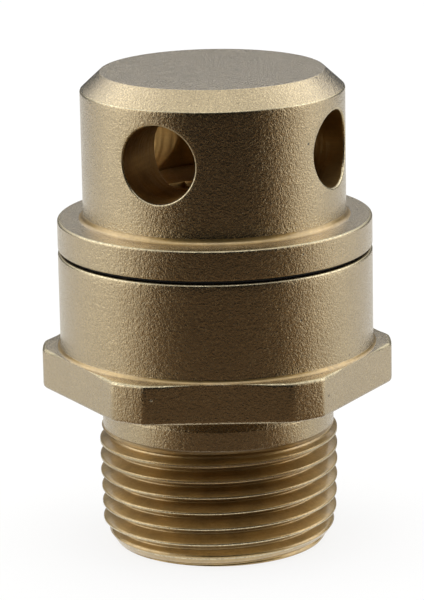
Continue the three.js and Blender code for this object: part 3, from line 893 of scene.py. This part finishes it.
class RELIEF_OT_discharge_cap(bpy.types.Operator):
    """Cap with its flange, threaded skirt and four drilled discharge ports"""

    bl_idname = "relief.discharge_cap"
    bl_label = "Discharge cap"

    def execute(self, context):
        parts = cap_skins(context.scene.relief_cap)
        make_piece("discharge_cap", parts, "casing", "blasted_brass", [lock_pin_hole(13.2, 16.0)])
        return {"FINISHED"}


# ---------------------------------------------------------------- seals, pin and nozzle


def plain_ring(node, inner, slot, body="casing", edge=0.06):
    """A plain ring for a node, with the given inner radius."""
    make_piece(node, [ring(radius(node), inner, bottom(node), top(node), edge)], body, slot)


class RELIEF_OT_seals(bpy.types.Operator):
    """Fibre gaskets under the cap and under the seat nozzle, and the pin that keeps the cap from turning"""

    bl_idname = "relief.seals"
    bl_label = "Gaskets and lock pin"

    def execute(self, context):
        plain_ring("cap_gasket", 15.3, "fibre")
        plain_ring("nozzle_gasket", 10.1, "fibre")
        size = half_height("cap_lock_pin")
        stations = [(13.4, size - 0.25), (13.65, size), (17.2, size), (17.33, size - 0.12)]
        pin = radial_bar(LOCK_PIN_AZIMUTH, middle_height("cap_lock_pin"), stations)
        make_piece("cap_lock_pin", [pin], "casing", "turned_brass")
        return {"FINISHED"}


class RELIEF_OT_seat_nozzle(bpy.types.Operator):
    """Screwed-in nozzle with the raised lip that the soft seat closes on"""

    bl_idname = "relief.seat_nozzle"
    bl_label = "Seat nozzle"

    def execute(self, context):
        trim = context.scene.relief_trim
        bore, lip = mm(trim.nozzle_bore), mm(trim.nozzle_bore) + 1.0
        low, seat, flange = bottom("seat_nozzle"), top("seat_nozzle"), radius("seat_nozzle")
        flange_low, flange_high, thread_high, bore_middle = 20.4, 21.25, 19.4, 18.0
        crest, pitch, depth = 9.9, 1.0, 0.62
        root = crest - depth
        before = rounded([(bore, bore_middle), (bore, low, 0.2), (root, low, 0.1), (root, low + 0.2)])[1:-1]
        after = rounded(
            [
                (root, thread_high),
                (root, flange_low, 0.1),
                (flange, flange_low, 0.15),
                (flange, flange_high, 0.2),
                (lip + 0.4, flange_high, 0.3),
                (lip, seat, 0.3),
                (bore, seat, 0.3),
                (bore, bore_middle),
            ]
        )
        before = [(bore, bore_middle - 2), *before]
        part = threaded(before, after, low + 0.2, thread_high, pitch, crest, depth)
        notch, out = 1.2, flange + 0.5  # each notch is as deep as half its width
        corners = [(flange - notch, -notch), (out, -notch), (out, notch), (flange - notch, notch)]
        notches = []
        for turn in range(4):
            cosine, sine = math.cos(turn * TURN / 4), math.sin(turn * TURN / 4)
            cut = [(x * cosine - y * sine, x * sine + y * cosine) for x, y in corners]
            levels = (flange_low - 0.3, flange_high + 0.3)
            notches.append(bar([[(*corner, z) for corner in cut] for z in levels]))
        make_piece("seat_nozzle", [part], "casing", "turned_brass", notches)
        return {"FINISHED"}


# ---------------------------------------------------------------- disc assembly


class RELIEF_OT_disc_assembly(bpy.types.Operator):
    """Soft seat in its holder, the stem pinned to it, and the washers and screw that hold them"""

    bl_idname = "relief.disc_assembly"
    bl_label = "Disc assembly"

    def execute(self, context):
        body = "disc_assembly"
        screw, stem = 1.4, radius("valve_stem")
        plain_ring("soft_seat_disc", screw + 0.1, "elastomer", body, 0.15)
        plain_ring("seat_retainer_washer", screw + 0.1, "stainless", body, 0.12)
        hub, outer, hub_top = 3.4, radius("disc_holder"), top("disc_holder")
        rim_low, plate_low, plate_top = bottom("disc_holder"), top("soft_seat_disc") + 0.05, 25.8
        holder = [
            (screw + 0.1, plate_low),
            (radius("soft_seat_disc") + 0.1, plate_low, 0.1),
            (radius("soft_seat_disc") + 0.1, rim_low, 0.15),
            (outer, rim_low, 0.3),
            (outer, plate_top, 0.5),
            (hub, plate_top, 0.2),
            (hub, hub_top, 0.35),
            (stem + 0.1, hub_top, 0.15),
            (stem + 0.1, plate_top),
            (screw + 0.1, plate_top),
        ]
        pin_height = middle_height("stem_cross_pin")
        pin_radius = half_height("stem_cross_pin")
        along_x = math.radians(90)
        hole = radial_bar(along_x, pin_height, [(-5, pin_radius + 0.05), (5, pin_radius + 0.05)])
        make_piece("disc_holder", [turned(rounded(holder))], body, "turned_brass", [hole])
        low, high = bottom("retainer_lock_washer"), top("retainer_lock_washer")
        start = math.radians(-90) + 0.13
        split = arc_bar(screw + 0.1, 2.6, low, high, start, start + TURN - 0.26, 0.08, 96)
        make_piece("retainer_lock_washer", [split], body, "spring_steel")
        head, head_low, head_top = radius("seat_retainer_screw"), bottom("seat_retainer_screw"), 20.8
        outline = rounded(
            [
                (0, head_low),
                (head, head_low, 0.3),
                (head, head_top, 0.1),
                (screw, head_top, 0.1),
                (screw, top("seat_retainer_screw"), 0.25),
                (0, top("seat_retainer_screw")),
            ]
        )
        slot = block((-0.35, -4, head_low - 1), (0.35, 4, head_low + 0.7))
        part = turned(outline, 96, False)
        make_piece("seat_retainer_screw", [part], body, "stainless", [slot])
        low, high = bottom("valve_stem"), top("valve_stem")
        outline = rounded([(0, low), (stem, low, 0.25), (stem, high, 0.5), (0, high)], 6)
        part = turned(outline, 96, False)
        make_piece("valve_stem", [part], body, "stainless", [hole])
        reach = radius("stem_cross_pin")
        stations = [(-reach, pin_radius - 0.12), (-reach + 0.12, pin_radius), (reach - 0.12, pin_radius)]
        stations.append((reach, pin_radius - 0.12))
        pin = radial_bar(along_x, pin_height, stations, 24)
        make_piece("stem_cross_pin", [pin], body, "stainless")
        plain_ring("lower_spring_washer", hub + 0.1, "stainless", body, 0.12)
        return {"FINISHED"}


# ---------------------------------------------------------------- spring and adjuster


class RELIEF_OT_main_spring(bpy.types.Operator):
    """Compression spring with closed and ground ends"""

    bl_idname = "relief.main_spring"
    bl_label = "Main spring"

    def execute(self, context):
        trim = context.scene.relief_trim
        wire, coils = mm(trim.spring_wire) / 2, trim.spring_coils
        low, high = bottom("main_spring"), top("main_spring")
        mean = 6.0
        sides, steps = 24, round(coils * 48)
        closed_turn, closed_rise = 1 / coils, 1.9 * wire
        first, last = low + wire / 2, high - wire / 2

        def centre(share):
            middle = (share - closed_turn) / (1 - 2 * closed_turn)
            height = first + closed_rise + (last - first - 2 * closed_rise) * middle
            if share < closed_turn:
                height = first + closed_rise * share / closed_turn
            if share > 1 - closed_turn:
                height = last - closed_rise * (1 - share) / closed_turn
            angle = TURN * coils * share
            return Vector((mean * math.cos(angle), mean * math.sin(angle), height))

        columns = []
        for i in range(steps + 1):
            at = centre(i / steps)
            along = (centre(min(1, (i + 0.5) / steps)) - centre(max(0, (i - 0.5) / steps))).normalized()
            out = Vector((at.x, at.y, 0)).normalized()
            up = along.cross(out)
            section = []
            for k in range(sides):
                point = at + (out * math.cos(TURN * k / sides) + up * math.sin(TURN * k / sides)) * wire
                # The ends are ground flat, so the wire never passes the seats.
                section.append((point.x, point.y, min(high, max(low, point.z))))
            columns.append(section)
        # Two lengths that meet inside the wire, cut where the travels are shared out: the lower one names the
        # disc and the casing, and the upper one the casing and the plate.
        cut = round(steps * 0.64)
        level = centre(cut / steps).z
        lower = ("disc_assembly", "casing", low, level - wire)
        upper = ("casing", "spring_plate", level + wire, high)
        make_piece("main_spring", [bar(columns[: cut + 1])], lower, "spring_steel", part_of="_lower")
        make_piece("main_spring", [bar(columns[cut:])], upper, "spring_steel", part_of="_upper")
        return {"FINISHED"}


class RELIEF_OT_adjuster(bpy.types.Operator):
    """Upper spring plate, and the slotted plug above it with its bush, seal and locking pellet"""

    bl_idname = "relief.adjuster"
    bl_label = "Adjuster"

    def execute(self, context):
        trim = context.scene.relief_trim
        inner, outer, half = mm(trim.slot_inner), mm(trim.slot_outer), trim.slot_span / 2
        stem_hole = radius("valve_stem") + 0.3
        plug_low, plug_top = bottom("adjusting_plug"), top("adjusting_plug")
        plate_low, plate_top = bottom("upper_spring_plate"), 38.15

        def slots(slot_inner, slot_outer, low, high):
            middles = [-TURN / 4, TURN / 4]
            return [arc_bar(slot_inner, slot_outer, low - 1, high + 1, m - half, m + half) for m in middles]

        plate = [
            (stem_hole, plate_low, 0.1),
            (radius("upper_spring_plate"), plate_low, 0.15),
            (radius("upper_spring_plate"), plate_top, 0.15),
            (inner - 0.1, plate_top),
            (inner - 0.1, plug_low - 0.05),
            (stem_hole, plug_low - 0.05, 0.03),
        ]
        tools = slots(inner + 0.2, 5.3, plate_low, plate_top)
        part = turned(rounded(plate))
        make_piece("upper_spring_plate", [part], "spring_plate", "stainless", tools)

        crest, pitch, depth = radius("adjusting_plug"), mm(trim.plug_pitch), 0.55 * mm(trim.plug_pitch)
        bush = radius("stem_guide_bush") + 0.1
        thread_high = plug_top - 0.35
        before = rounded([(bush, plug_low + 1), (bush, plug_low, 0.1), (crest - depth, plug_low)])[:-1]
        after = rounded(
            [
                (crest - depth, thread_high),
                (crest - depth + 0.25, thread_high),
                (crest - 0.2, plug_top, 0.15),
                (stem_hole, plug_top, 0.12),
                (stem_hole, plug_top - 0.4),
                (bush, plug_top - 0.4),
                (bush, plug_low + 1),
            ]
        )[1:-1]
        part = threaded(before, after, plug_low, thread_high, pitch, crest, depth)
        azimuth, height = trim.pellet_azimuth, middle_height("plug_lock_pellet")
        pellet = half_height("plug_lock_pellet")
        tools = slots(inner, outer, plug_low, plug_top)
        tools.append(radial_bar(azimuth, height, [(5.4, pellet + 0.1), (8.0, pellet + 0.1)]))
        # The plug takes the darker drilled brass instead of its turned brass: painted shade on a part deep
        # inside the cap.
        make_piece("adjusting_plug", [part], "adjuster", "turned_brass", tools, finishes=("drilled_brass",))
        stations = [(5.7, pellet - 0.1), (5.8, pellet), (7.1, pellet), (7.2, pellet - 0.1)]
        make_piece("plug_lock_pellet", [radial_bar(azimuth, height, stations)], "adjuster", "nylon")
        plain_ring("stem_guide_bush", radius("stem_guide_bush") - 0.9, "bronze", "adjuster", 0.1)
        wire = half_height("stem_o_ring")
        mean = radius("stem_o_ring") - wire
        height = middle_height("stem_o_ring")
        circle = [(mean + wire * math.cos(a), height + wire * math.sin(a)) for a in angles(24)[:-1]]
        make_piece("stem_o_ring", [turned(circle, 96)], "adjuster", "elastomer")
        return {"FINISHED"}


# ---------------------------------------------------------------- studio


class RELIEF_OT_studio(bpy.types.Operator):
    """Pale floor, soft lamps, dark flag and the camera"""

    bl_idname = "relief.studio"
    bl_label = "Studio"

    def execute(self, context):
        studio = context.scene.relief_studio
        build_floor(studio)
        build_lamps(studio)
        build_flags()
        build_camera(studio)
        return {"FINISHED"}


def stage_mesh(name, points, faces, material):
    mesh = bpy.data.meshes.new(name)
    mesh.from_pydata(points, [], faces)
    mesh.materials.append(material)
    thing = bpy.data.objects.new(name, mesh)
    bpy.context.scene.collection.objects.link(thing)
    return thing


def seen_directly(tree):
    """1 for what is seen, straight, in metal or through glass, and 0 for what only lights the scene."""
    path = add_node(tree, "ShaderNodeLightPath").outputs
    either = {0: path["Is Camera Ray"], 1: path["Is Glossy Ray"]}
    seen = add_node(tree, "ShaderNodeMath", either, operation="MAXIMUM").outputs[0]
    through = {0: seen, 1: path["Is Transmission Ray"]}
    return add_node(tree, "ShaderNodeMath", through, operation="MAXIMUM").outputs[0]


def mix_shaders(tree, share, first, second, output):
    mixed = add_node(tree, "ShaderNodeMixShader", {0: share, 1: first.outputs[0], 2: second.outputs[0]})
    tree.links.new(mixed.outputs[0], tree.nodes[output].inputs["Surface"])


def build_floor(studio):
    """Matt white floor: it takes the valve's shadow, and shows white to the camera and in the metal."""
    material, tree, shader, _ = new_material("white_floor", tuple(studio.floor), 0.0, 0.9)
    seen = seen_directly(tree)
    white = add_node(tree, "ShaderNodeEmission", {"Color": rgba("#FFFFFF"), "Strength": 1.0})
    share = add_node(tree, "ShaderNodeMath", {0: seen, 1: 0.8}, operation="MULTIPLY").outputs[0]
    mix_shaders(tree, share, shader, white, "Material Output")
    half = 4.0  # metres
    corners = [(-half, -half, 0), (half, -half, 0), (half, half, 0), (-half, half, 0)]
    stage_mesh("floor", corners, [(0, 1, 2, 3)], material)
    world = bpy.data.worlds.new("white_room")
    bpy.context.scene.world = world
    world.use_nodes = True
    room = world.node_tree
    seen = seen_directly(room)
    light, white = [
        add_node(room, "ShaderNodeBackground", {"Color": rgba("#FFFFFF"), "Strength": 1.0}) for _ in range(2)
    ]
    mix_shaders(room, seen, light, white, "World Output")


def front_direction():
    """The way the hexagon's front flat faces, and the way to its right."""
    azimuth = bpy.context.scene.relief_body.hexagon_azimuth
    cosine, sine = math.cos(azimuth), math.sin(azimuth)
    return Vector((sine, -cosine, 0)), Vector((cosine, sine, 0))


def aim(thing, place, target):
    thing.location = place
    thing.rotation_euler = (Vector(target) - Vector(place)).to_track_quat("-Z", "Y").to_euler()


def build_lamps(studio):
    """Soft boxes low and high on both sides and one overhead, and a thin strip high in front for the edges.

    Each place is so many metres to the right, to the front and up from the valve's middle."""
    front, side = front_direction()
    middle = (Vector(cad_box[0]) + Vector(cad_box[1])) / 2
    for name, (right, ahead, above), power, size in (
        ("left_soft_box", (-0.55, 0.05, 0.18), studio.side_power, (0.5, 0.5)),
        ("right_soft_box", (0.55, 0.05, 0.18), studio.side_power, (0.5, 0.5)),
        ("high_left_soft_box", (-0.44, -0.26, 0.48), studio.high_power, (0.35, 0.35)),
        ("high_right_soft_box", (0.44, -0.26, 0.48), studio.high_power, (0.35, 0.35)),
        ("top_soft_box", (0, 0, 0.7), studio.top_power, (0.5, 0.5)),
        ("edge_strip", (0, 0.24, 0.66), studio.strip_power, (0.5, 0.07)),
    ):
        place = middle + side * right + front * ahead + Vector((0, 0, above))
        lamp = bpy.data.lights.new(name, "AREA")
        lamp.shape = "RECTANGLE"
        lamp.size, lamp.size_y = size
        lamp.energy = power
        holder = bpy.data.objects.new(name, lamp)
        bpy.context.scene.collection.objects.link(holder)
        aim(holder, place, middle)
        holder.visible_glossy = name != "top_soft_box"


def build_flags():
    """What the metal mirrors: dark cloth laid and hung in front, with tan cloth along both its edges, grey
    paper on the floor at the sides and grey cloth behind. The camera sees none of it.

    Each runs between two angles round the valve, in degrees from the way it faces, with a profile of
    (distance from the axis, height) in millimetres."""
    front, side = front_direction()
    for name, colour, facing, left, right, profile in (
        ("near_flag", "#5A4733", front, -48, 60, ((21, 0.4), (150, 0.4))),
        ("left_tan_flag", "#94764A", front, -58, -48, ((21, 0.4), (500, 0.4), (500, 500))),
        ("right_tan_flag", "#94764A", front, 60, 72, ((21, 0.4), (500, 0.4), (500, 500))),
        ("far_flag", "#0B0805", front, -48, 60, ((150, 0.4), (500, 0.4), (500, 500), (400, 690))),
        ("left_paper", "#C6C3BD", front, -178, -58, ((21, 0.4), (500, 0.4))),
        ("right_paper", "#C6C3BD", front, 72, 178, ((21, 0.4), (500, 0.4))),
        ("back_flag", "#3C3E42", -front, -60, 60, ((450, 0.4), (500, 0.4), (500, 190))),
    ):
        cloth = new_material(name + "_cloth", linear(colour), 0.0, 1.0)[0]
        points, faces, steps = [], [], 24
        for i in range(steps + 1):
            turn = math.radians(left + (right - left) * i / steps)
            out = facing * math.cos(turn) + side * math.sin(turn)
            points += [tuple((out * reach + Vector((0, 0, level))) * MM) for reach, level in profile]
        rows = len(profile)
        for i in range(steps):
            for j in range(rows - 1):
                faces.append((rows * i + j, rows * i + j + 1, rows * (i + 1) + j + 1, rows * (i + 1) + j))
        flag = stage_mesh(name, points, faces, cloth)
        flag.visible_camera = False
        flag.visible_diffuse = False
        flag.visible_shadow = False


def build_camera(studio):
    """A long lens that looks down on the front flat from a little above the cap."""
    front, side = front_direction()
    camera = bpy.data.cameras.new("camera")
    camera.lens, camera.sensor_width = studio.lens, 36
    holder = bpy.data.objects.new("camera", camera)
    bpy.context.scene.collection.objects.link(holder)
    place = front * 0.3599 + Vector((0, 0, 0.1202))
    pitch, roll, turn = math.radians(14.48), math.radians(-1.07), math.radians(0.074)
    ahead = -front * math.cos(turn) - side * math.sin(turn)
    look = ahead * math.cos(pitch) - Vector((0, 0, math.sin(pitch)))
    across = look.cross(Vector((0, 0, 1))).normalized()
    tilted = across.cross(look) * math.cos(roll) - across * math.sin(roll)
    rotation = Matrix((look.cross(tilted), tilted, -look)).transposed()
    holder.matrix_world = Matrix.Translation(place) @ rotation.to_4x4()
    bpy.context.scene.camera = holder
    bpy.context.scene.view_settings.view_transform = "Standard"


class RELIEF_PT_panel(bpy.types.Panel):
    """Sidebar panel with a button for each piece and for the studio"""

    bl_label = "Relief valve"
    bl_idname = "RELIEF_PT_panel"
    bl_space_type = "VIEW_3D"
    bl_region_type = "UI"
    bl_category = "Relief valve"

    def draw(self, context):
        for operator in OPERATORS:
            self.layout.operator(operator.bl_idname)


SETTINGS = {
    "relief_body": ReliefBodySettings,
    "relief_cap": ReliefCapSettings,
    "relief_trim": ReliefTrimSettings,
    "relief_finish": ReliefFinishSettings,
    "relief_studio": ReliefStudioSettings,
}
OPERATORS = (
    RELIEF_OT_inlet_body,
    RELIEF_OT_discharge_cap,
    RELIEF_OT_seals,
    RELIEF_OT_seat_nozzle,
    RELIEF_OT_disc_assembly,
    RELIEF_OT_main_spring,
    RELIEF_OT_adjuster,
    RELIEF_OT_studio,
)


def register():
    for name, settings in SETTINGS.items():
        bpy.utils.register_class(settings)
        setattr(bpy.types.Scene, name, bpy.props.PointerProperty(type=settings))
    for operator in OPERATORS:
        bpy.utils.register_class(operator)
    bpy.utils.register_class(RELIEF_PT_panel)


def unregister():
    bpy.utils.unregister_class(RELIEF_PT_panel)
    for operator in reversed(OPERATORS):
        bpy.utils.unregister_class(operator)
    for name, settings in reversed(SETTINGS.items()):
        delattr(bpy.types.Scene, name)
        bpy.utils.unregister_class(settings)


def main():
    register()
    for operator in OPERATORS:
        getattr(bpy.ops.relief, operator.bl_idname.removeprefix("relief."))()


if __name__ == "__main__":
    main()
